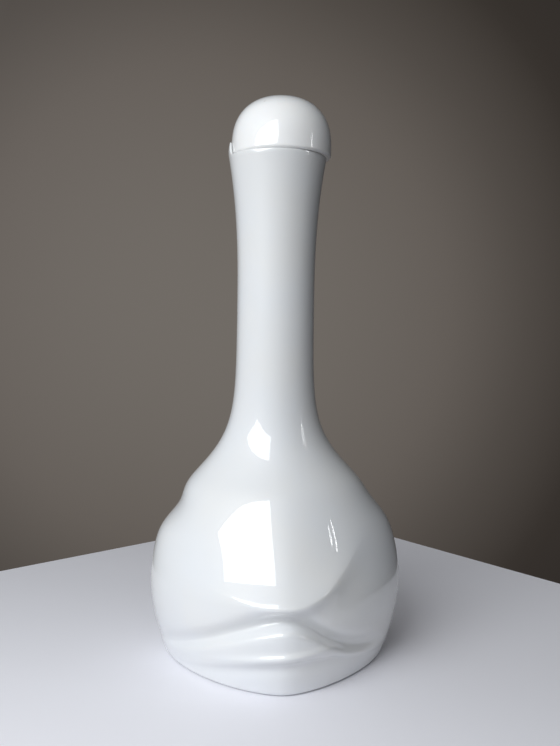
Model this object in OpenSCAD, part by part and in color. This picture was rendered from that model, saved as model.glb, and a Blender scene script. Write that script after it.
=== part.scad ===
// Glazed porcelain carafe: a long-necked vessel with a carved belly, and a domed stopper in a cork sleeve.
// The origin is the middle of the foot, and the neck's axis stands off it towards the lip.
// +Z is up, the front ridge points along -Y, and the lip along -X.
// The vessel is mirrored front to back, so its ridge, prow and carving are on both faces.

/* [Vessel] */
// Height of the rim above the table
rim_h = 267.6; // [250:0.1:290]
// How far the neck's axis stands from the foot's middle, towards the lip
neck_aside = 2.3; // [1:0.1:3.5]
// Height at which the neck is narrowest
waist_h = 192; // [175:1:210]
// Radius of the neck where it is narrowest
waist_r = 20.9; // [20.5:0.1:24]
// Radius of the neck at the rim
rim_r = 26.3; // [26.2:0.1:27]
// Radius of the belly below the lip
left_r = 65.8; // [62:0.1:70]
// Radius of the belly opposite the lip
right_r = 71.1; // [67:0.1:75]
// Radius of the belly at its front and back ridges, under the prow
ridge_r = 72.8; // [70:0.1:75]
// Radius at which the ridge's straight run meets the prow
facet_r = 70.6; // [68:0.1:72]
// How far that run draws in for each unit of its height
facet_share = 0.58; // [0.54:0.01:0.62]
// Height at which the sides are halfway drawn in to the neck
shoulder_h = 97.4; // [94:0.1:100]
// Height at which the ridges are halfway drawn in to the neck
ridge_shoulder_h = 89; // [86:0.5:92]
// Height over which the shoulder curves, about a sixth of its run from belly to neck
shoulder_run = 12.1; // [11:0.1:13]
// How far the sides draw in from the belly to the foot
foot_taper = 9.7; // [7:0.1:11]
// How far the ridges draw in to the foot
ridge_taper = 9; // [6:0.1:10.5]
// Height above which the foot no longer draws in
foot_rise = 47; // [42:1:52]
// Rounding of the foot's outer edge
foot_edge = 1.4; // [1:0.1:2]

/* [Carving] */
// Height of the prow, where the ridge ends
prow_h = 46.3; // [44.5:0.1:49]
// How far the prow and its hem stand out
prow_out = 4.4; // [2:0.1:5]
// Height of the hem's upper slope
hem_above = 9; // [7:0.5:12]
// Height of the hem's undercut at the prow
hem_below = 4; // [3.5:0.1:5]
// Height of the hem's undercut towards the sides
hem_below_side = 16; // [10:0.5:20]
// How far the hem climbs from the prow to the side below the lip
hem_climb_left = 6; // [2:0.5:10]
// How far the hem climbs from the prow to the side opposite the lip
hem_climb_right = 30; // [24:0.5:34]
// Height of the arched groove under the prow
arch_h = 41; // [39:0.5:42]
// How far the arched groove falls towards the side below the lip
arch_fall_left = 37.5; // [32:0.5:38]
// How far the arched groove falls towards the side opposite the lip
arch_fall_right = 26; // [20:0.5:30]
// Depth of the arched groove
arch_in = 5; // [3:0.1:5.5]
// Half the width of the arched groove
arch_half = 3.8; // [3.4:0.1:5]
// Height of the soft crease above the foot
crease_h = 16.5; // [14:0.5:18]
// Depth of the soft crease
crease_in = 1.3; // [0.5:0.1:2]
// Half the width of the soft crease
crease_half = 3.2; // [2.6:0.1:4]
// How far the mound between groove and crease stands out
mound_out = 1.3; // [0.5:0.1:2]
// How far the mound's brim stands out
brim_out = 1; // [0.4:0.1:1.4]
// Height of that brim above the crease
brim_rise = 6.3; // [5.5:0.1:7.5]
// Height of the brim's upper slope
brim_above = 2.4; // [2:0.1:3]
// Height of the brim's undercut
brim_below = 1.8; // [1.5:0.1:2.5]
// Depth of the hollow in the side below the lip
left_hollow = 4.8; // [2:0.1:6]
// Height of the hollow in the side below the lip
left_hollow_h = 80; // [77:0.5:84]
// Depth of the hollow in the side opposite the lip
right_hollow = 2.6; // [1:0.1:4]
// Height of the hollow in the side opposite the lip
right_hollow_h = 84.5; // [82:0.5:89]
// Half the height of both hollows
hollow_half = 9.5; // [8.5:0.1:11]

/* [Walls] */
// Thickness of the belly's wall
wall = 4.5; // [3.5:0.1:5.5]
// Thickness of the floor above the foot's recess
floor_t = 4.5; // [3.5:0.1:6]
// Width of the ring that the vessel stands on
foot_ring = 8; // [6:0.5:12]
// Depth of the recess inside that ring
foot_recess = 1.8; // [1:0.1:2.5]
// Height of the belly's inside, where the neck's bore begins
belly_top = 134; // [130:1:138]
// Radius of the neck's bore
bore_r = 16; // [14:0.1:16.2]

/* [Mouth] */
// Height of the pouring lip above the rim
lip_h = 7.3; // [5:0.1:8]
// How far the lip leans back in from the neck's flare at its top
lip_lean = 2; // [1:0.1:2]
// Rounding of the rim's outer edge
rim_edge = 0.6; // [0.4:0.1:0.9]
// Radius of the mouth at the rim
mouth_r = 17.2; // [16.6:0.1:18]
// Length of the mouth's taper
mouth_l = 20; // [18:0.5:24]

/* [Stopper] */
// Radius of the stopper's dome
dome_r = 26.9; // [26:0.1:27]
// How far the dome stands from the neck's axis, away from the lip
dome_shift = 1.9; // [1.8:0.1:2.4]
// Height of the dome above the rim
dome_h = 32; // [28:0.5:36]
// Height above the rim at which the dome begins to close
dome_spring = 5.5; // [4:0.5:8]
// Rounding of the dome's lower edge
dome_edge = 2.3; // [1.5:0.1:3]
// Gap between the dome and the inside of the lip
dome_gap = 0.3; // [0.3:0.05:0.6]
// Thickness of the stopper's shell
shell = 4; // [3:0.1:5]
// Radius of the stopper's tongue
tongue_r = 12; // [11:0.1:12.4]
// Length of the tongue below the rim
tongue_l = 26; // [24:0.5:32]
// Length of the cork sleeve on the tongue
cork_l = 18; // [14:0.5:18]
// Glue line between the cork and the tongue
glue = 0.05; // [0.02:0.01:0.1]
// Clearance between the cork and the mouth
cork_fit = 0.05; // [0.02:0.01:0.1]

/* [Hidden] */

// Bends of the outline as the neck flares, of the plan's squareness, of the dome, and of the carved forms
flare_power = 2.5;
plan_power = 1.5;
dome_power = 2.4;
arch_power = 6;
mound_power = 4;
lip_power = 4;
// Tightness of the bend where the ridge's straight run meets its other curves
facet_power = 30;
// Least that this run stands out from the neck
facet_floor = 4;
// Height and run over which the plan turns from a round neck to a four-cornered belly
plan_h = 100;
plan_run = 14;
// Roundness of the ridge at the neck and at the prow, and of the side corners, as shares of the radius
ridge_share = 0.16;
prow_share = 0.06;
side_share = 0.3;
// Height of the ridge above the prow over which its roundness changes
ridge_rise = 60;
// Half the mound's height as a share of what lies between groove and crease
mound_share = 0.36;

// Azimuths, in degrees from the ridge, over which each carved feature fades out or bends
hem_turn = 40;
hem_below_span = 30;
hem_span_left = 34;
hem_span_right = 28;
arch_span_left = 72;
arch_span_right = 52;
arch_round = 7;
arch_run_left = 60;
arch_run_right = 24;
crease_turn = 13;
crease_span = 55;
mound_span = 40;
brim_span = 26;
hollow_span = 26;
lip_span = 18.5;

// Rows and columns of the skin, and how far its columns crowd towards the ridges
columns = 88;
crowd = 11;
foot_rows = 3;
mound_shares = [0.08, 0.17, 0.26, 0.34, 0.4, 0.45, 0.5, 0.55, 0.6, 0.67, 0.76, 0.84, 0.92, 1];
prow_rows = 5;
flare_rows = 4;
shoulder_rows = 16;
neck_rows = 6;
mouth_rows = 5;
rim_rows = 2;
inner_columns = 36;
inner_rows = 20;
dome_steps = 22;
edge_steps = 4;

// Height of the rows of the hem's flare, and height where the rows stop following the carving
flare_h = 14;
neck_base = 150;

// How far cutting solids run past what they cut
overrun = 1;

lip_inner = dome_r + dome_gap;
inner_floor = foot_recess + floor_t;
carved_in = arch_in + crease_in;
carved_mid = prow_h / 2;
$fn = 96;

// Falling step from 1 to 0, and the hyperbolic tangent
function fall(x) = 1 / (1 + exp(x));
function tanh(x) = 1 - 2 / (exp(2 * x) + 1);
function bell(x, power = 2) = exp(-pow(abs(x), power));
function lerp(a, b, t) = a + (b - a) * t;
function least(a, b) = pow(pow(a, -facet_power) + pow(b, -facet_power), -1 / facet_power);

// Azimuth folded to the nearer ridge, 0 to 90, and the same with a minus sign towards the lip
function from_ridge(az) = atan2(abs(sin(az)), abs(cos(az)));
function signed(az) = sin(az) < 0 ? -from_ridge(az) : from_ridge(az);
function by_side(az, left, right) = sin(az) < 0 ? left : right;

// Neck's radius at a height, without the belly; how far the belly swells from it, and the foot draws in
function neck(z) =
    waist_r + (rim_r - waist_r) * pow(max(0, (z - waist_h) / (rim_h - waist_h)), flare_power);
function swell(z, belly_r, at) = (belly_r - waist_r) * fall((z - at) / shoulder_run);
function foot(z, taper) = taper * pow(max(0, 1 - z / foot_rise), 2);

// Outline of the ridge: it leaves the shoulder's curve and runs straight down to the prow
function ridge_outline(z) =
    neck(z) - foot(z, ridge_taper)
    + least(swell(z, ridge_r, ridge_shoulder_h),
        max(facet_floor, facet_r - waist_r - facet_share * (z - prow_h)));
function side_outline(az, z) =
    neck(z) - foot(z, foot_taper)
    + swell(z, (right_r + left_r) / 2 + (right_r - left_r) / 2 * sin(az), shoulder_h);

// Plain body at an azimuth: a superellipse through the ridge's and the side's outlines
function plain(az, z) =
    let (power = 2 - (2 - plan_power) * fall((z - plan_h) / plan_run),
        soft = lerp(prow_share, ridge_share, min(1, max(0, (z - prow_h) / ridge_rise))),
        along = pow(norm([cos(az), side_share]), power) * (1 - pow(soft, power))
            / pow(norm([1, side_share]), power),
        across = pow(norm([sin(az), soft]), power) * (1 - pow(side_share, power))
            / pow(norm([1, soft]), power))
    pow(along * pow(ridge_outline(z), -power) + across * pow(side_outline(az, z), -power), -1 / power);

// Hollows in the two sides
function hollow(az, z) =
    by_side(az, left_hollow, right_hollow) * bell((90 - from_ridge(az)) / hollow_span)
    * bell((z - by_side(az, left_hollow_h, right_hollow_h)) / hollow_half);

// Lines that the carving follows round the body, as heights at an azimuth
function hem_line(az) =
    prow_h + by_side(az, hem_climb_left, hem_climb_right) * (1 - bell(from_ridge(az) / hem_turn));
function arch_line(az) =
    arch_h - by_side(az, arch_fall_left, arch_fall_right)
    * tanh((norm([from_ridge(az), arch_round]) - arch_round) / by_side(az, arch_run_left, arch_run_right));
function crease_line(az) = crease_h * bell((signed(az) - crease_turn) / crease_span);

// Prow and hem, arched groove, mound with its brim, and crease
function hem(az, z) =
    let (d = z - hem_line(az),
        below = lerp(hem_below_side, hem_below, bell(from_ridge(az) / hem_below_span)))
    prow_out * bell(from_ridge(az) / by_side(az, hem_span_left, hem_span_right))
    * bell(d / (d > 0 ? hem_above : below));
function arch(az, z) =
    arch_in * bell(from_ridge(az) / by_side(az, arch_span_left, arch_span_right), arch_power)
    * bell((z - arch_line(az)) / arch_half);
function mound(az, z) =
    let (mid = (arch_line(az) + crease_line(az)) / 2,
        half = max(crease_half, (arch_line(az) - crease_line(az)) * mound_share))
    mound_out * bell(from_ridge(az) / mound_span) * bell((z - mid) / half, mound_power);
function brim(az, z) =
    let (d = z - crease_line(az) - brim_rise)
    brim_out * bell(from_ridge(az) / brim_span) * bell(d / (d > 0 ? brim_above : brim_below));
function crease(az, z) =
    crease_in * bell(from_ridge(az) / mound_span) * bell((z - crease_line(az)) / crease_half);

// Pouring lip: height of the vessel's top at an azimuth, and how far the lip leans in
function lip_share(az) = sin(az) < 0 ? bell((90 - from_ridge(az)) / lip_span, lip_power) : 0;
function top_h(az) = rim_h + lip_h * lip_share(az);
function lip(z) = lip_lean * pow(min(1, max(0, (z - rim_h) / lip_h)), 2);

// Rounding of the foot's and the rim's outer edges
function foot_round(z) = z > foot_edge ? 0 : foot_edge - sqrt(max(0, foot_edge^2 - (foot_edge - z)^2));
function rim_round(az, z) =
    let (d = min(rim_edge, max(0, z - rim_h + rim_edge)))
    (1 - lip_share(az)) * (rim_edge - sqrt(rim_edge^2 - d^2));

function skin(az, z) =
    plain(az, z) - hollow(az, z) + hem(az, z) - arch(az, z) + mound(az, z) + brim(az, z) - crease(az, z)
    - lip(z) - foot_round(z) - rim_round(az, z);

// Inside of the belly, which follows the plain body and stays clear of the carving
function inside(az, z) =
    plain(az, z) - hollow(az, z) - wall - carved_in * bell(from_ridge(az) / arch_span_left, mound_power)
    * bell((z - carved_mid) / prow_h, mound_power);

function around(az, r, z) = [r * sin(az), -r * cos(az), z];
function column_az(i, n, crowding) = let (t = 360 * i / n) t - crowding * sin(2 * t);

// Closed skin from rings of points, with a flat bottom and a top drawn to a middle point
module skin_of(rings, top) {
    n = len(rings[0]);
    last = len(rings) - 1;
    points = [for (ring = rings) each ring, top];
    polyhedron(points, [
        [for (i = [0 : n - 1]) i],
        for (k = [0 : last - 1], i = [0 : n - 1])
            let (a = k * n + i, b = k * n + (i + 1) % n)
            each [[a, a + n, b + n], [a, b + n, b]],
        for (i = [0 : n - 1]) [last * n + i, (last + 1) * n, last * n + (i + 1) % n]
    ]);
}

// Heights of the skin's rows at an azimuth: they follow the arched groove, the hem and the lip
function row_heights(az) = concat(
    [for (i = [1 : foot_rows]) foot_edge * (1 - cos(90 * i / foot_rows))],
    [for (share = mound_shares) lerp(foot_edge, arch_line(az), share)],
    [for (i = [1 : prow_rows]) lerp(arch_line(az), hem_line(az), i / prow_rows)],
    [for (i = [1 : flare_rows]) hem_line(az) + flare_h * i / flare_rows],
    [for (i = [1 : shoulder_rows]) lerp(hem_line(az) + flare_h, neck_base, i / shoulder_rows)],
    [for (i = [1 : neck_rows]) lerp(neck_base, rim_h - mouth_l, i / neck_rows)],
    [for (i = [1 : mouth_rows]) lerp(rim_h - mouth_l, top_h(az) - rim_edge, i / mouth_rows)],
    [for (i = [1 : rim_rows]) top_h(az) - rim_edge * (1 - sin(90 * i / rim_rows))]
);

module outer_skin() {
    azs = [for (i = [0 : columns - 1]) column_az(i, columns, crowd)];
    rows = [for (az = azs) row_heights(az)];
    skin_of([
        [for (az = azs) around(az, skin(az, 0) - overrun, -overrun)],
        for (k = [0 : len(rows[0]) - 1]) [for (i = [0 : columns - 1])
            around(azs[i], skin(azs[i], rows[i][k]), rows[i][k])],
    ], [0, 0, rim_h]);
}

module belly_space() {
    azs = [for (i = [0 : inner_columns - 1]) column_az(i, inner_columns, crowd)];
    zs = [for (i = [0 : inner_rows]) lerp(inner_floor + wall, belly_top, i / inner_rows)];
    skin_of([
        [for (az = azs) around(az, inside(az, zs[0]) - wall, inner_floor)],
        for (z = zs) [for (az = azs) around(az, inside(az, z), z)],
    ], [0, 0, belly_top]);
}

// Bore of the neck, the mouth's taper, and the round seat that the dome stands in, cut inside the lip
module neck_space() {
    rotate_extrude()
        polygon([
            [0, belly_top - overrun], [bore_r, belly_top - overrun], [bore_r, rim_h - mouth_l],
            [mouth_r, rim_h], [mouth_r, rim_h + lip_h + overrun], [0, rim_h + lip_h + overrun]
        ]);
    translate([dome_shift, 0, rim_h])
        cylinder(h = lip_h + overrun, r = lip_inner);
}

// Recess in the foot, which leaves the ring that the vessel stands on
module foot_space() {
    translate([0, 0, -2 * overrun])
        linear_extrude(2 * overrun + foot_recess)
            polygon([for (i = [0 : inner_columns - 1])
                let (az = column_az(i, inner_columns, crowd), r = skin(az, 0) - foot_ring)
                [r * sin(az), -r * cos(az)]]);
}

module below_table() {
    side = 2 * (right_r + left_r);
    translate([-side / 2, -side / 2, -2 * overrun])
        cube([side, side, 2 * overrun]);
}

module carafe_body() {
    color([0.9, 0.91, 0.93])
        translate([-neck_aside, 0, 0])
            difference() {
                outer_skin();
                belly_space();
                neck_space();
                foot_space();
                below_table();
            }
}

// Dome's outline: points on its closing curve, at a share of a quarter turn
function dome_curve(r, h, turn) =
    [r * pow(cos(turn), 2 / dome_power), h * pow(sin(turn), 2 / dome_power)];

// Dome and its hollow, round an axis of their own
module dome_solid() {
    closing = [for (i = [0 : dome_steps])
        [0, rim_h + dome_spring] + dome_curve(dome_r, dome_h - dome_spring, 90 * (1 - i / dome_steps))];
    edge = [for (i = [0 : edge_steps]) let (turn = 90 * i / edge_steps)
        [dome_r - dome_edge * (1 - cos(turn)), rim_h + dome_edge * (1 - sin(turn))]];
    translate([dome_shift, 0, 0])
        rotate_extrude()
            polygon(concat(closing, edge, [[0, rim_h]]));
}

module dome_space() {
    inner_r = dome_r - shell;
    low = rim_h + shell - dome_edge;
    roof = [for (i = [0 : dome_steps])
        [0, rim_h + dome_spring] + dome_curve(inner_r, dome_h - dome_spring - shell, 90 * i / dome_steps)];
    translate([dome_shift, 0, 0])
        rotate_extrude()
            polygon(concat(roof, [[0, low], [inner_r, low]]));
}

module stopper() {
    color([0.91, 0.92, 0.94])
        translate([-neck_aside, 0, 0])
            difference() {
                union() {
                    dome_solid();
                    translate([0, 0, rim_h - tongue_l])
                        cylinder(h = tongue_l + overrun, r = tongue_r);
                }
                dome_space();
                translate([0, 0, rim_h - tongue_l - overrun])
                    cylinder(h = tongue_l + shell + overrun, r = tongue_r - shell);
            }
}

// Radius of the mouth's taper at a height
function mouth_at(z) = lerp(bore_r, mouth_r, (z - rim_h + mouth_l) / mouth_l);

module cork_sleeve() {
    inner = tongue_r + glue;
    color([0.72, 0.53, 0.36])
        translate([-neck_aside, 0, 0])
            rotate_extrude()
                polygon([
                    [inner, rim_h - cork_l], [mouth_at(rim_h - cork_l) - cork_fit, rim_h - cork_l],
                    [mouth_r - cork_fit, rim_h], [inner, rim_h]
                ]);
}

carafe_body();
stopper();
cork_sleeve();
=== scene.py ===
"""Looks of a glazed porcelain carafe: smooth meshes of its three pieces, their materials, light and camera.

Lengths are millimetres and turn into metres where a mesh, light or camera is made. Azimuths are degrees from
the front ridge, and heights are above the floor. Pieces are closed surfaces made of rings, each with a radius
for every column round the neck's axis.
"""
import math

import bmesh
import bpy
import numpy as np
from mathutils import Matrix, Quaternion, Vector


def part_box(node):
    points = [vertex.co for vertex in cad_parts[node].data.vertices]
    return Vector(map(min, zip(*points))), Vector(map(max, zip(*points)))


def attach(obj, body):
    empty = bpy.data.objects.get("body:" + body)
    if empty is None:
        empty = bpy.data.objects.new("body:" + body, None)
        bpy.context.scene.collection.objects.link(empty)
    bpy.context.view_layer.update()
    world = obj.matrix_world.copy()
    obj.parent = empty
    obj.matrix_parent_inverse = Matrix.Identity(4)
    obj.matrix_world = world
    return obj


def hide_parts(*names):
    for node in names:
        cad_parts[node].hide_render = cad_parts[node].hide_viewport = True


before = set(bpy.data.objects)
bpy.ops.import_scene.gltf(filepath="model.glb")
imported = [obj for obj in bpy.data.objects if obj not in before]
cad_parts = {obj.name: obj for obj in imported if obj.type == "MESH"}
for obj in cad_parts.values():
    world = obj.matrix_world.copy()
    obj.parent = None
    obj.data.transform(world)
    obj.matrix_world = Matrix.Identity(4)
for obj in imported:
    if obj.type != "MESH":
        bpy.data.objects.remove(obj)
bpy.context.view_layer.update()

MM = 0.001

# Stopper and cork. The dome's inside draws in to the tongue's bore down to HOLLOW_LOW_H above the rim, and the
# bore begins at BORE_TOP_H above it
DOME_R, DOME_H, DOME_SPRING, DOME_EDGE, DOME_POWER = 26.9, 32, 5.5, 1.6, 2.4
DOME_SHIFT = 1.9
DOME_GAP, SHELL = 0.3, 4
TONGUE_R, TONGUE_L, TONGUE_EDGE = 12, 26, 1
HOLLOW_LOW_H, BORE_TOP_H = 1.7, 1
CORK_L, GLUE, CORK_FIT = 18, 0.05, 0.05
CORK_LOW_EDGE, CORK_TOP_EDGE = 0.5, 0.4

# Vessel: the rim, the neck, the belly's four sides, the shoulder and the foot
RIM_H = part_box("stopper")[1].z / MM - DOME_H
NECK_ASIDE = 2.3
NECK_BASE = 150
WAIST_H, WAIST_R = 192, 20.9
RIM_R, FLARE_POWER = 26.3, 2.5
LEFT_R, RIGHT_R, RIDGE_R = 65.8, 71.1, 72.8
SHOULDER_H, SHOULDER_RUN, RIDGE_SHOULDER_H = 97.4, 12.1, 89
FACET_R, FACET_SHARE, FACET_FLOOR, FACET_POWER = 69.9, 0.58, 4, 30
FOOT_TAPER, RIDGE_TAPER, FOOT_RISE, FOOT_EDGE = 9.7, 9.0, 47, 2.0
PLAN_POWER, PLAN_H, PLAN_RUN = 1.5, 100, 14
RIDGE_SHARE, PROW_SHARE, SIDE_SHARE, RIDGE_RISE = 0.16, 0.06, 0.3, 60

# Carving
PROW_H, PROW_OUT = 46.3, 5.2
HEM_ABOVE, HEM_BELOW, HEM_BELOW_SIDE, HEM_BELOW_SPAN = 8.5, 4.5, 13, 30
HEM_CLIMB_LEFT, HEM_CLIMB_RIGHT, HEM_TURN = 6, 30, 40
HEM_SPAN_LEFT, HEM_SPAN_RIGHT, HEM_POWER = 28, 30, 1.3
ARCH_H, ARCH_IN, ARCH_ABOVE, ARCH_BELOW, ARCH_ROUND = 38.3, 4.8, 4.8, 3.0, 9
ARCH_FALL_LEFT, ARCH_RUN_LEFT, ARCH_SPAN_LEFT, ARCH_POWER_LEFT = 34, 64, 62, 3
ARCH_FALL_RIGHT, ARCH_RUN_RIGHT, ARCH_SPAN_RIGHT, ARCH_POWER_RIGHT = 23.5, 23, 52, 6
CREASE_H, CREASE_IN, CREASE_HALF, CREASE_TURN, CREASE_SPAN = 16.5, 0.8, 3.2, 13, 55
MOUND_OUT, MOUND_SHARE, MOUND_SPAN, MOUND_POWER = 1.3, 0.36, 40, 6
BRIM_OUT, BRIM_RISE, BRIM_ABOVE, BRIM_BELOW, BRIM_SPAN = 2.1, 6.5, 2.0, 3.2, 22
LEFT_HOLLOW, LEFT_HOLLOW_H = 4.8, 80
RIGHT_HOLLOW, RIGHT_HOLLOW_H = 2.6, 84.5
HOLLOW_HALF, HOLLOW_SPAN = 9.5, 26

# Walls and inside, with the roundings of the foot's recess and of the ring round it. The belly's inside turns
# into the bore over BORE_RUN
WALL, FLOOR_T, FOOT_RING, FOOT_RECESS = 4.5, 4.5, 8, 1.8
RECESS_EDGE, RING_EDGE = 0.6, 0.5
BELLY_TOP, BORE_R, BORE_RUN, INSIDE_POWER = 134, 16, 14, 4

# Rim, mouth and lip. The wall of the dome's seat leans in by SEAT_LEAN on its way down, and the rim is at least
# RIM_LEAST_T thick where the lip rises less than LIP_LEAST_H
RIM_EDGE, MOUTH_EDGE, MOUTH_R, MOUTH_L = 0.6, 0.6, 17.2, 20
LIP_H, LIP_LEAN, LIP_SPAN, LIP_POWER = 7.3, 1.9, 11, 4
LIP_LEAST_H, RIM_LEAST_T, LIP_EDGE_SHARE, SEAT_LEAN = 0.5, 1.2, 0.8, 0.05

# Columns round the neck's axis, crowded towards the ridges, and rows of each stretch. Points nearer than WELD
# are one
COLUMNS, CROWD_DEG, WELD = 288, 11, 0.001
FOOT_ROWS, ARCH_ROWS, HEM_ROWS, SHOULDER_ROWS, NECK_ROWS = 60, 36, 40, 75, 60
SEAT_ROWS, TAPER_ROWS, BORE_ROWS, INNER_ROWS, DOME_ROWS = 8, 10, 24, 48, 90

# Colours
VESSEL_WHITE, VESSEL_SPECKS = (0.76, 0.772, 0.79), 26
# The stopper is the vessel's porcelain, set whiter than the vessel as painted light for the brighter top
STOPPER_WHITE_PAINTED_LIGHT, STOPPER_SPECKS = (0.9, 0.906, 0.916), 30
FLOOR_COLOUR = (0.83, 0.83, 0.88, 1)
WHITE, BLACK = (1, 1, 1, 1), (0, 0, 0, 1)

# Camera: focal length in pixels of the frame's height, tilt, place, turn and roll
FRAME_H, FOCAL_PX, SENSOR_MM = 746, 769, 36
EYE_H, EYE_AWAY, EYE_ASIDE = 175.7, 422, 0.61
TILT_DEG, TURN_DEG, ROLL_DEG = 3.275, 6.87, 0.85

# Floor: width, place and turn
FLOOR_W, FLOOR_X, FLOOR_Y, FLOOR_DEG = 392, 9, 33, 34

# Lights: one large tilted panel, and two upright strips that face the axis at LIT_H
PANEL_AT, PANEL_FACES, PANEL_ROLL_DEG = (-384, -468, 422), (-240, -372, 62), 46
PANEL_SIZE, PANEL_POWER, PANEL_COLOUR = (533, 367), 4.0, (0.97, 0.99, 1.0)
STRIP_AZ_A, STRIP_AZ_B, STRIP_RISE_DEG, STRIP_AWAY = 63, 66.5, 19, 923
STRIP_SIZE, STRIP_POWER = (14, 280), 0.14
LIT_H = 120


def fall(x):
    return 1 / (1 + np.exp(x))


def bell(x, power=2):
    return np.exp(-np.abs(x) ** power)


def lerp(a, b, t):
    return a + (b - a) * t


def steps(count):
    """Equal steps that end at 1 and leave 0 out."""
    return np.arange(1, count + 1) / count


def sin_cos(az):
    return np.sin(np.radians(az)), np.cos(np.radians(az))


def from_ridge(az):
    """Azimuth folded to the nearer ridge, 0 to 90."""
    s, c = sin_cos(az)
    return np.degrees(np.arctan2(np.abs(s), np.abs(c)))


def to_lip(az):
    return np.sin(np.radians(az)) < 0


def by_side(az, left, right):
    """Value of the side below the lip or of the side opposite it."""
    return np.where(to_lip(az), left, right)


def neck(z):
    return WAIST_R + (RIM_R - WAIST_R) * np.maximum(0, (z - WAIST_H) / (RIM_H - WAIST_H)) ** FLARE_POWER


def foot(z, taper):
    return taper * np.maximum(0, 1 - z / FOOT_RISE) ** 2


def swell(z, belly_r, shoulder_h):
    return (belly_r - WAIST_R) * fall((z - shoulder_h) / SHOULDER_RUN)


def least(a, b):
    """Lesser of two lengths, with a short blend where they cross."""
    return (a ** -FACET_POWER + b ** -FACET_POWER) ** (-1 / FACET_POWER)


def ridge_outline(z):
    """The ridge leaves the shoulder's curve and runs straight down to the prow."""
    line = FACET_R - WAIST_R - FACET_SHARE * (z - PROW_H)
    out = least(swell(z, RIDGE_R, RIDGE_SHOULDER_H), np.maximum(line, FACET_FLOOR))
    return neck(z) + out - foot(z, RIDGE_TAPER)


def plain(az, z):
    """Radius of the plain body: a superellipse through the ridge's and the side's outlines."""
    s, c = sin_cos(az)
    power = 2 - (2 - PLAN_POWER) * fall((z - PLAN_H) / PLAN_RUN)
    soft = lerp(PROW_SHARE, RIDGE_SHARE, np.clip((z - PROW_H) / RIDGE_RISE, 0, 1))
    side_r = (RIGHT_R + LEFT_R) / 2 + (RIGHT_R - LEFT_R) / 2 * s
    along = np.hypot(c, SIDE_SHARE) ** power * (1 - soft ** power) / np.hypot(1, SIDE_SHARE) ** power
    across = np.hypot(s, soft) ** power * (1 - SIDE_SHARE ** power) / np.hypot(1, soft) ** power
    side = neck(z) + swell(z, side_r, SHOULDER_H) - foot(z, FOOT_TAPER)
    return (along * ridge_outline(z) ** -power + across * side ** -power) ** (-1 / power)


def hollow(az, z):
    deep = by_side(az, LEFT_HOLLOW, RIGHT_HOLLOW)
    rise = z - by_side(az, LEFT_HOLLOW_H, RIGHT_HOLLOW_H)
    return deep * bell((90 - from_ridge(az)) / HOLLOW_SPAN) * bell(rise / HOLLOW_HALF)


def hem_line(az):
    return PROW_H + by_side(az, HEM_CLIMB_LEFT, HEM_CLIMB_RIGHT) * (1 - bell(from_ridge(az) / HEM_TURN))


def arch_line(az):
    turn = np.hypot(from_ridge(az), ARCH_ROUND) - ARCH_ROUND
    run = by_side(az, ARCH_RUN_LEFT, ARCH_RUN_RIGHT)
    return ARCH_H - by_side(az, ARCH_FALL_LEFT, ARCH_FALL_RIGHT) * np.tanh(turn / run)


def crease_line(az):
    signed = by_side(az, -from_ridge(az), from_ridge(az))
    return CREASE_H * bell((signed - CREASE_TURN) / CREASE_SPAN)


def hem(az, z):
    """The hem's sharp slope above its line, and its undercut below."""
    d = z - hem_line(az)
    below = lerp(HEM_BELOW_SIDE, HEM_BELOW, bell(from_ridge(az) / HEM_BELOW_SPAN))
    out = PROW_OUT * bell(from_ridge(az) / by_side(az, HEM_SPAN_LEFT, HEM_SPAN_RIGHT))
    return out * np.where(d > 0, bell(d / HEM_ABOVE, HEM_POWER), bell(d / below))


def arch(az, z):
    """The arched groove under the prow."""
    span = by_side(az, ARCH_SPAN_LEFT, ARCH_SPAN_RIGHT)
    deep = ARCH_IN * bell(from_ridge(az) / span, by_side(az, ARCH_POWER_LEFT, ARCH_POWER_RIGHT))
    d = z - arch_line(az)
    return deep * bell(d / np.where(d > 0, ARCH_ABOVE, ARCH_BELOW))


def mound(az, z):
    """The mound between groove and crease."""
    mid = (arch_line(az) + crease_line(az)) / 2
    half = np.maximum(CREASE_HALF, (arch_line(az) - crease_line(az)) * MOUND_SHARE)
    return MOUND_OUT * bell(from_ridge(az) / MOUND_SPAN) * bell((z - mid) / half, MOUND_POWER)


def brim(az, z):
    """The mound ends in a small brim of its own above the crease."""
    d = z - crease_line(az) - BRIM_RISE
    return BRIM_OUT * bell(from_ridge(az) / BRIM_SPAN) * bell(d / np.where(d > 0, BRIM_ABOVE, BRIM_BELOW))


def crease(az, z):
    return CREASE_IN * bell(from_ridge(az) / MOUND_SPAN) * bell((z - crease_line(az)) / CREASE_HALF)


def lip_share(az):
    return by_side(az, bell((90 - from_ridge(az)) / LIP_SPAN, LIP_POWER), 0)


def lip_lean(z):
    return LIP_LEAN * np.clip((z - RIM_H) / LIP_H, 0, 1) ** 2


def foot_round(z):
    inner = np.maximum(0, FOOT_EDGE ** 2 - (FOOT_EDGE - z) ** 2)
    return np.where(z > FOOT_EDGE, 0, FOOT_EDGE - np.sqrt(inner))


def skin(az, z):
    """Radius of the vessel's outside at an azimuth and a height."""
    carved = hem(az, z) - arch(az, z) + mound(az, z) + brim(az, z) - crease(az, z)
    return plain(az, z) - hollow(az, z) + carved - lip_lean(z) - foot_round(z)


def inside(az, z):
    """Radius of the belly's inside."""
    carved = (ARCH_IN + CREASE_IN) * bell(from_ridge(az) / ARCH_SPAN_LEFT, INSIDE_POWER)
    return plain(az, z) - hollow(az, z) - WALL - carved * bell((z - PROW_H / 2) / PROW_H, INSIDE_POWER)


def seat_r(az):
    """Radius, from the neck's axis, of the round seat that the dome stands in, a little off that axis."""
    s, c = sin_cos(az)
    return DOME_SHIFT * s + np.sqrt((DOME_R + DOME_GAP) ** 2 - (DOME_SHIFT * c) ** 2)


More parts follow.
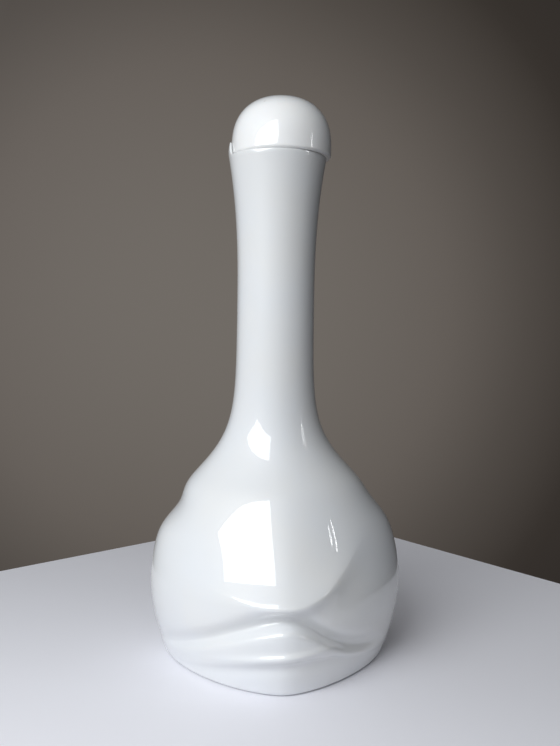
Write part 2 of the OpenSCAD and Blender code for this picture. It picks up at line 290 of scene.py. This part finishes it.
def mesh_of(name, rings, slot_of_row, materials):
    """Piece with a closed surface through rings of a radius, a height and, on some, a shift along X."""
    s, c = sin_cos(AZ)
    points = []
    for r, z, *shift in rings:
        aside = sum(shift) - NECK_ASIDE
        points.append(np.stack([r * s + aside, -r * c, z + 0 * s], axis=1))
    n = len(AZ)
    verts = np.concatenate(points) * MM
    ends = [verts[:n].mean(axis=0), verts[-n:].mean(axis=0)]
    verts = np.concatenate([verts, ends])
    faces, slots = [], []
    for row in range(len(rings) - 1):
        low, high = row * n, (row + 1) * n
        for i in range(n):
            j = (i + 1) % n
            faces.append((low + i, low + j, high + j, high + i))
        slots += [slot_of_row(row)] * n
    last = (len(rings) - 1) * n
    for i in range(n):
        j = (i + 1) % n
        faces.append((len(verts) - 2, j, i))
        faces.append((last + i, last + j, len(verts) - 1))
        slots += [slot_of_row(0), slot_of_row(len(rings) - 2)]
    mesh = bpy.data.meshes.new(name)
    mesh.from_pydata(verts.tolist(), [], faces)
    mesh.polygons.foreach_set("material_index", slots)
    mesh.polygons.foreach_set("use_smooth", [True] * len(faces))
    for material in materials:
        mesh.materials.append(material)
    mesh.update()
    piece = bpy.data.objects.new(name, mesh)
    bpy.context.collection.objects.link(piece)
    return piece


def column_azimuths():
    even = np.linspace(0, 360, COLUMNS, endpoint=False)
    return even - CROWD_DEG * np.sin(np.radians(2 * even))


AZ = column_azimuths()
ONES = np.ones(COLUMNS)


def whole(line):
    """Round rings from the points of a turned outline."""
    return [(r * ONES, z * ONES, *shift) for r, z, *shift in line]


def foot_rings():
    """Rings from the foot's middle over the ring that it stands on, and which rows are unglazed."""
    edge_r = skin(AZ, 0 * ONES)
    ring_r = edge_r - FOOT_RING
    rings = [(ring_r * share, FOOT_RECESS * ONES) for share in (0.02, 0.3, 0.6, 0.9, 0.97)]
    for a in np.radians([15, 45, 75]):
        z = FOOT_RECESS - RECESS_EDGE * (1 - np.cos(a))
        rings.append((ring_r - RECESS_EDGE * (1 - np.sin(a)), z * ONES))
    for a in np.radians([15, 45, 75]):
        rings.append((ring_r + RING_EDGE * (1 - np.cos(a)), RING_EDGE * (1 - np.sin(a)) * ONES))
    bare_from = len(rings) - 2
    for t in (0.15, 0.5, 0.85):
        rings.append((lerp(ring_r + RING_EDGE, edge_r, t), 0 * ONES))
    return rings, range(bare_from, len(rings))


def skin_rings(top):
    """Rings up the outside to the rim's edge, whose rows follow the groove, the hem and the lip."""
    heights = [FOOT_EDGE * (1 - np.cos(a)) * ONES for a in np.radians(np.linspace(0, 90, 8))]
    heights += [lerp(FOOT_EDGE, arch_line(AZ), t) for t in steps(FOOT_ROWS)]
    heights += [lerp(arch_line(AZ), hem_line(AZ), t) for t in steps(ARCH_ROWS)]
    heights += [hem_line(AZ) + HEM_ABOVE * t for t in steps(HEM_ROWS)]
    heights += [lerp(hem_line(AZ) + HEM_ABOVE, NECK_BASE, t) for t in steps(SHOULDER_ROWS)]
    heights += [lerp(NECK_BASE, top - RIM_EDGE, t) for t in steps(NECK_ROWS)]
    return [(skin(AZ, z), z) for z in heights]


def rim_rings(top):
    """Rings over the rim and lip, and down the seat that the dome stands in."""
    outer = skin(AZ, top - RIM_EDGE)
    inner = np.where(top - RIM_H > LIP_LEAST_H, seat_r(AZ), np.minimum(seat_r(AZ), outer - RIM_LEAST_T))
    thin = np.minimum(RIM_EDGE, (outer - inner) / 2)
    rings = []
    for a in np.radians([20, 40, 60, 80]):
        rings.append((outer - thin * (1 - np.cos(a)), top - RIM_EDGE * (1 - np.sin(a))))
    edge = np.minimum(thin * LIP_EDGE_SHARE, (top - RIM_H) / 2)
    for a in np.radians([10, 30, 50, 70, 90]):
        rings.append((inner + edge * (1 - np.sin(a)), top - edge * (1 - np.cos(a))))
    for t in steps(SEAT_ROWS):
        rings.append((inner - SEAT_LEAN * t, lerp(top - edge, RIM_H, t)))
    for t in (0.33, 0.66, 1):
        rings.append((lerp(inner - SEAT_LEAN, MOUTH_R + MOUTH_EDGE, t), RIM_H * ONES))
    return rings


def mouth_rings():
    """Rings round the mouth's edge, down its taper and down the neck's bore."""
    line = []
    for a in np.radians([22, 45, 67, 90]):
        line.append((MOUTH_R + MOUTH_EDGE * (1 - math.sin(a)), RIM_H - MOUTH_EDGE * (1 - math.cos(a))))
    taper_end = RIM_H - MOUTH_L
    line += [(lerp(MOUTH_R, BORE_R, t), lerp(RIM_H - MOUTH_EDGE, taper_end, t)) for t in steps(TAPER_ROWS)]
    line += [(BORE_R, lerp(taper_end, BELLY_TOP, t)) for t in steps(BORE_ROWS)]
    return whole(line)


def belly_rings():
    """Rings down the belly's inside and over its floor."""
    floor_z = FOOT_RECESS + FLOOR_T
    rings = []
    for t in steps(INNER_ROWS):
        z = lerp(BELLY_TOP, floor_z + WALL, t) * ONES
        blend = np.clip((BELLY_TOP - z) / BORE_RUN, 0, 1)
        rings.append((lerp(BORE_R, inside(AZ, z), blend * blend * (3 - 2 * blend)), z))
    low = inside(AZ, (floor_z + WALL) * ONES)
    for a in np.radians([15, 30, 45, 60, 75, 90]):
        rings.append((low - WALL * (1 - np.cos(a)), (floor_z + WALL * (1 - np.sin(a))) * ONES))
    for share in (0.75, 0.5, 0.25, 0.02):
        rings.append(((low - WALL) * share, floor_z * ONES))
    return rings


def vessel_rings():
    rings, bare = foot_rings()
    top = RIM_H + LIP_H * lip_share(AZ)
    return rings + skin_rings(top) + rim_rings(top) + mouth_rings() + belly_rings(), bare


def dome_curve(r, h, shares):
    """Points on a closing curve over the spring line: shares run from 0 at its foot to 1 at its top."""
    points = []
    for turn in shares * math.pi / 2:
        rise = h * math.sin(turn) ** (2 / DOME_POWER)
        points.append((r * math.cos(turn) ** (2 / DOME_POWER), RIM_H + DOME_SPRING + rise, DOME_SHIFT))
    return points


def stopper_rings():
    """Rings from the inside's top round the tongue and over the dome, and which rows are unglazed."""
    spring = RIM_H + DOME_SPRING
    rise = DOME_H - DOME_SPRING
    bore = TONGUE_R - SHELL
    tip = RIM_H - TONGUE_L + TONGUE_EDGE
    line = dome_curve(DOME_R - SHELL, rise - SHELL, np.linspace(0.98, 0, 30))
    for t in (0.3, 0.6, 0.9):
        z = lerp(spring, RIM_H + HOLLOW_LOW_H, t)
        line.append((lerp(DOME_R - SHELL, bore, t), z, DOME_SHIFT * (1 - t)))
    line += [(bore, lerp(RIM_H + BORE_TOP_H, tip, t)) for t in np.linspace(0, 1, 10)]
    for a in np.radians([30, 60, 90]):
        line.append((bore + TONGUE_EDGE * (1 - math.cos(a)), tip - TONGUE_EDGE * math.sin(a)))
    for a in np.radians([0, 30, 60, 90]):
        line.append((TONGUE_R - TONGUE_EDGE * (1 - math.sin(a)), tip - TONGUE_EDGE * math.cos(a)))
    line += [(TONGUE_R, lerp(tip, RIM_H, t)) for t in np.linspace(0.1, 1, 9)]
    line += [(lerp(TONGUE_R, DOME_R - DOME_EDGE, t), RIM_H, DOME_SHIFT * t) for t in (0.05, 0.35, 0.7, 0.95)]
    bare = range(len(line))
    for a in np.radians(np.linspace(0, 90, 14)):
        r = DOME_R - DOME_EDGE * (1 - math.sin(a))
        line.append((r, RIM_H + DOME_EDGE * (1 - math.cos(a)), DOME_SHIFT))
    line += [(DOME_R, lerp(RIM_H + DOME_EDGE, spring, t), DOME_SHIFT) for t in (0.25, 0.5, 0.75)]
    line += dome_curve(DOME_R, rise, np.linspace(0, 0.995, DOME_ROWS))
    return whole(line), bare


def cork_rings():
    """Rings down the sleeve's bore, over its low end, up its tapered outside and back over its top."""
    inner = TONGUE_R + GLUE
    low = RIM_H - CORK_L
    top_r = MOUTH_R - CORK_FIT
    low_r = lerp(BORE_R, MOUTH_R, (MOUTH_L - CORK_L) / MOUTH_L) - CORK_FIT
    low_edge, top_edge = low + CORK_LOW_EDGE, RIM_H - CORK_TOP_EDGE
    line = [(inner, lerp(RIM_H, low, t)) for t in np.linspace(0, 1, 12)]
    line += [(lerp(inner, low_r - CORK_LOW_EDGE, t), low) for t in (0.3, 0.6, 1)]
    for a in np.radians([30, 60, 90]):
        line.append((low_r - CORK_LOW_EDGE * (1 - math.sin(a)), low_edge - CORK_LOW_EDGE * math.cos(a)))
    line += [(lerp(low_r, top_r, t), lerp(low_edge, top_edge, t)) for t in np.linspace(0.08, 1, 12)]
    for a in np.radians([30, 60, 90]):
        line.append((top_r - CORK_TOP_EDGE * (1 - math.cos(a)), top_edge + CORK_TOP_EDGE * math.sin(a)))
    line += [(lerp(top_r - CORK_TOP_EDGE, inner, t), RIM_H) for t in (0.35, 0.7, 1)]
    return whole(line)


def close_tube(tube):
    """Takes the end caps off a piece whose last ring lies on its first, and joins the two."""
    bm = bmesh.new()
    bm.from_mesh(tube.data)
    bm.verts.ensure_lookup_table()
    bmesh.ops.delete(bm, geom=bm.verts[-2:], context="VERTS")
    bmesh.ops.remove_doubles(bm, verts=bm.verts[:], dist=WELD * MM)
    bm.to_mesh(tube.data)
    bm.free()


def new_material(name):
    m = bpy.data.materials.new(name)
    m.use_nodes = True
    return m, m.node_tree.nodes, m.node_tree.links, m.node_tree.nodes["Principled BSDF"]


def noise(nodes, links, scale, detail, rough=0.5):
    """Noise in the piece's own metres."""
    coords = nodes.new("ShaderNodeTexCoord")
    n = nodes.new("ShaderNodeTexNoise")
    n.inputs["Scale"].default_value = scale
    n.inputs["Detail"].default_value = detail
    n.inputs["Roughness"].default_value = rough
    links.new(coords.outputs["Object"], n.inputs["Vector"])
    return n.outputs["Fac"]


def cells(nodes, links, scale, stretch=(1, 1, 1)):
    """Distance to the middle of irregular cells, in the piece's own metres."""
    coords = nodes.new("ShaderNodeTexCoord")
    mapping = nodes.new("ShaderNodeMapping")
    mapping.inputs["Scale"].default_value = stretch
    n = nodes.new("ShaderNodeTexVoronoi")
    n.inputs["Scale"].default_value = scale
    links.new(coords.outputs["Object"], mapping.inputs["Vector"])
    links.new(mapping.outputs["Vector"], n.inputs["Vector"])
    return n.outputs["Distance"]


def ramp(nodes, links, source, stops):
    """Colours at places from 0 to 1 of the source."""
    r = nodes.new("ShaderNodeValToRGB")
    first, last = r.color_ramp.elements
    first.position, first.color = stops[0]
    last.position, last.color = stops[-1]
    for position, colour in stops[1:-1]:
        stop = r.color_ramp.elements.new(position)
        stop.color = colour
    links.new(source, r.inputs["Fac"])
    return r.outputs["Color"]


def over(nodes, links, base, share, colour):
    """A colour laid over the base where the share is 1."""
    mix = nodes.new("ShaderNodeMix")
    mix.data_type = "RGBA"
    mix.inputs["B"].default_value = colour
    links.new(share, mix.inputs["Factor"])
    links.new(base, mix.inputs["A"])
    return mix.outputs["Result"]


def total(nodes, links, a, b):
    """Sum of two colours."""
    mix = nodes.new("ShaderNodeMix")
    mix.data_type = "RGBA"
    mix.blend_type = "ADD"
    mix.inputs["Factor"].default_value = 1
    links.new(a, mix.inputs["A"])
    links.new(b, mix.inputs["B"])
    return mix.outputs["Result"]


def bump(nodes, links, height, strength, metres, normal, into=False):
    """Small relief on a shader's normal, raised or cut into the surface."""
    b = nodes.new("ShaderNodeBump")
    b.inputs["Strength"].default_value = strength
    b.inputs["Distance"].default_value = metres
    b.invert = into
    links.new(height, b.inputs["Height"])
    links.new(b.outputs["Normal"], normal)


def porcelain(name, white, speck_scale):
    """White porcelain under a clear glaze: a faint tint, a few iron specks and a barely uneven surface."""
    m, nodes, links, bsdf = new_material(name)
    cool = (white[0] * 0.985, white[1] * 0.995, white[2] * 1.005, 1)
    warm = (white[0], white[1] * 0.995, white[2] * 0.98, 1)
    base = ramp(nodes, links, noise(nodes, links, 22, 2), [(0.35, cool), (0.65, warm)])
    specks = ramp(nodes, links, cells(nodes, links, speck_scale), [(0.0, WHITE), (0.035, BLACK)])
    links.new(over(nodes, links, base, specks, (0.32, 0.28, 0.24, 1)), bsdf.inputs["Base Color"])
    bsdf.inputs["Roughness"].default_value = 0.42
    bsdf.inputs["IOR"].default_value = 1.5
    bsdf.inputs["Subsurface Weight"].default_value = 0.12
    bsdf.inputs["Subsurface Radius"].default_value = (1.0, 0.9, 0.8)
    bsdf.inputs["Subsurface Scale"].default_value = 0.002
    bsdf.inputs["Coat Weight"].default_value = 1.0
    bsdf.inputs["Coat Roughness"].default_value = 0.025
    bsdf.inputs["Coat IOR"].default_value = 1.55
    bump(nodes, links, noise(nodes, links, 90, 1), 0.05, 0.0006, bsdf.inputs["Coat Normal"])
    return m


def bare_porcelain():
    """Bare fired porcelain, matt and slightly grey."""
    m, nodes, links, bsdf = new_material("bare_porcelain")
    grain = noise(nodes, links, 900, 4, 0.7)
    base = ramp(nodes, links, grain, [(0.3, (0.62, 0.6, 0.57, 1)), (0.7, (0.8, 0.79, 0.76, 1))])
    links.new(base, bsdf.inputs["Base Color"])
    bsdf.inputs["Roughness"].default_value = 0.8
    bump(nodes, links, grain, 0.3, 0.0003, bsdf.inputs["Normal"])
    return m


def cork_material():
    """Cork: tan grain with dark lenticels and small pits."""
    m, nodes, links, bsdf = new_material("cork")
    grain = noise(nodes, links, 700, 6, 0.65)
    tan = ramp(nodes, links, grain,
               [(0.3, (0.3, 0.17, 0.08, 1)), (0.5, (0.56, 0.36, 0.2, 1)), (0.72, (0.72, 0.52, 0.33, 1))])
    pits = ramp(nodes, links, cells(nodes, links, 260, (1, 1, 0.35)), [(0.08, WHITE), (0.26, BLACK)])
    links.new(over(nodes, links, tan, pits, (0.16, 0.08, 0.035, 1)), bsdf.inputs["Base Color"])
    bsdf.inputs["Roughness"].default_value = 0.85
    bump(nodes, links, pits, 0.6, 0.0004, bsdf.inputs["Normal"], into=True)
    return m


def make_pieces():
    vessel_glaze = porcelain("vessel_glaze", VESSEL_WHITE, VESSEL_SPECKS)
    # The stopper's glaze is whiter than the vessel's: painted light for the brighter top
    stopper_glaze = porcelain("stopper_glaze", STOPPER_WHITE_PAINTED_LIGHT, STOPPER_SPECKS)
    bare = bare_porcelain()
    rings, bare_rows = vessel_rings()
    vessel = mesh_of("vessel", rings, lambda row: int(row in bare_rows), [vessel_glaze, bare])
    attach(vessel, "carafe")
    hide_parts("carafe_body")
    rings, bare_rows = stopper_rings()
    stopper = mesh_of("stopper_dome", rings, lambda row: int(row in bare_rows), [stopper_glaze, bare])
    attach(stopper, "stopper")
    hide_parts("stopper")
    cork = mesh_of("cork_ring", cork_rings(), lambda row: 0, [cork_material()])
    close_tube(cork)
    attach(cork, "stopper")
    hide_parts("cork_sleeve")


def make_floor():
    """Plain pale square floor."""
    bpy.ops.mesh.primitive_plane_add(size=FLOOR_W * MM, location=(FLOOR_X * MM, FLOOR_Y * MM, 0))
    floor = bpy.context.object
    floor.rotation_euler.z = math.radians(FLOOR_DEG)
    floor.name = "floor"
    m, _, _, bsdf = new_material("pale_floor")
    bsdf.inputs["Base Color"].default_value = FLOOR_COLOUR
    bsdf.inputs["Roughness"].default_value = 0.6
    floor.data.materials.append(m)


def area_light(name, at, size, power, colour, faces=(0, 0, LIT_H), roll=0):
    data = bpy.data.lights.new(name, "AREA")
    data.shape = "RECTANGLE"
    data.size, data.size_y = size[0] * MM, size[1] * MM
    data.energy = power
    data.color = colour
    light = bpy.data.objects.new(name, data)
    light.location = Vector(at) * MM
    light.rotation_mode = "QUATERNION"
    facing = ((Vector(faces) - Vector(at)) * MM).to_track_quat("-Z", "Y")
    light.rotation_quaternion = facing @ Quaternion((0, 0, 1), math.radians(roll))
    light.visible_camera = False
    bpy.context.collection.objects.link(light)


def strip_light(name, az):
    """Upright strip at an azimuth, seen from the belly at a set elevation and distance."""
    a, e = math.radians(az), math.radians(STRIP_RISE_DEG)
    out = STRIP_AWAY * math.cos(e)
    at = (out * math.sin(a), -out * math.cos(a), LIT_H + STRIP_AWAY * math.sin(e))
    area_light(name, at, STRIP_SIZE, STRIP_POWER, (1, 1, 1))


def toward(nodes, links, vector, direction):
    """How nearly one looks along a direction, from 0 straight away from it to 1 along it."""
    norm = nodes.new("ShaderNodeVectorMath")
    norm.operation = "NORMALIZE"
    links.new(vector, norm.inputs[0])
    dot = nodes.new("ShaderNodeVectorMath")
    dot.operation = "DOT_PRODUCT"
    dot.inputs[1].default_value = Vector(direction).normalized()
    links.new(norm.outputs["Vector"], dot.inputs[0])
    half = nodes.new("ShaderNodeMath")
    half.operation = "MULTIPLY_ADD"
    half.inputs[1].default_value = 0.5
    half.inputs[2].default_value = 0.5
    links.new(dot.outputs["Value"], half.inputs[0])
    return half.outputs["Value"]


def make_light():
    """A room that is lit on the left, a dim wall behind, a soft ceiling, one panel and two strips."""
    world = bpy.context.scene.world or bpy.data.worlds.new("world")
    bpy.context.scene.world = world
    world.use_nodes = True
    nodes, links = world.node_tree.nodes, world.node_tree.links
    background = nodes["Background"]
    look = nodes.new("ShaderNodeTexCoord").outputs["Generated"]
    room = ramp(nodes, links, toward(nodes, links, look, (-0.85, -0.45, 0.28)), [
        (0.0, (0.01, 0.009, 0.009, 1)),
        (0.28, (0.014, 0.013, 0.012, 1)),
        (0.43, (0.03, 0.028, 0.027, 1)),
        (0.58, (0.15, 0.15, 0.15, 1)),
        (0.72, (0.38, 0.39, 0.4, 1)),
        (1.0, (0.5, 0.52, 0.54, 1)),
    ])
    wall = ramp(nodes, links, toward(nodes, links, look, (0.03, 0.99, 0.02)), [
        (0.75, BLACK),
        (0.9, (0.012, 0.01, 0.009, 1)),
        (0.94, (0.025, 0.02, 0.016, 1)),
        (0.962, (0.07, 0.06, 0.052, 1)),
        (0.978, (0.115, 0.1, 0.088, 1)),
        (1.0, (0.15, 0.135, 0.12, 1)),
    ])
    ceiling = ramp(nodes, links, toward(nodes, links, look, (0.05, -0.4, 0.91)), [
        (0.78, BLACK),
        (0.85, (0.05, 0.05, 0.051, 1)),
        (0.93, (0.13, 0.13, 0.133, 1)),
        (1.0, (0.16, 0.16, 0.163, 1)),
    ])
    all_three = total(nodes, links, total(nodes, links, room, wall), ceiling)
    links.new(all_three, background.inputs["Color"])
    background.inputs["Strength"].default_value = 1.0
    area_light("window", PANEL_AT, PANEL_SIZE, PANEL_POWER, PANEL_COLOUR, PANEL_FACES, PANEL_ROLL_DEG)
    strip_light("strip_a", STRIP_AZ_A)
    strip_light("strip_b", STRIP_AZ_B)


def make_camera():
    data = bpy.data.cameras.new("camera")
    data.sensor_fit = "AUTO"
    data.sensor_width = SENSOR_MM
    data.lens = SENSOR_MM * FOCAL_PX / FRAME_H
    data.clip_start = 0.01
    camera = bpy.data.objects.new("camera", data)
    turn = Matrix.Rotation(-math.radians(TURN_DEG), 4, "Z")
    eye = turn @ Vector((EYE_ASIDE, -EYE_AWAY, EYE_H))
    spin = turn @ Matrix.Rotation(math.radians(90 - TILT_DEG), 4, "X")
    roll = Matrix.Rotation(math.radians(ROLL_DEG), 4, "Z")
    camera.matrix_world = Matrix.Translation(eye * MM) @ spin @ roll
    bpy.context.collection.objects.link(camera)
    bpy.context.scene.camera = camera


make_camera()
make_pieces()
make_floor()
make_light()
bpy.context.scene.view_settings.view_transform = "Standard"
bpy.context.scene.cycles.use_denoising = True
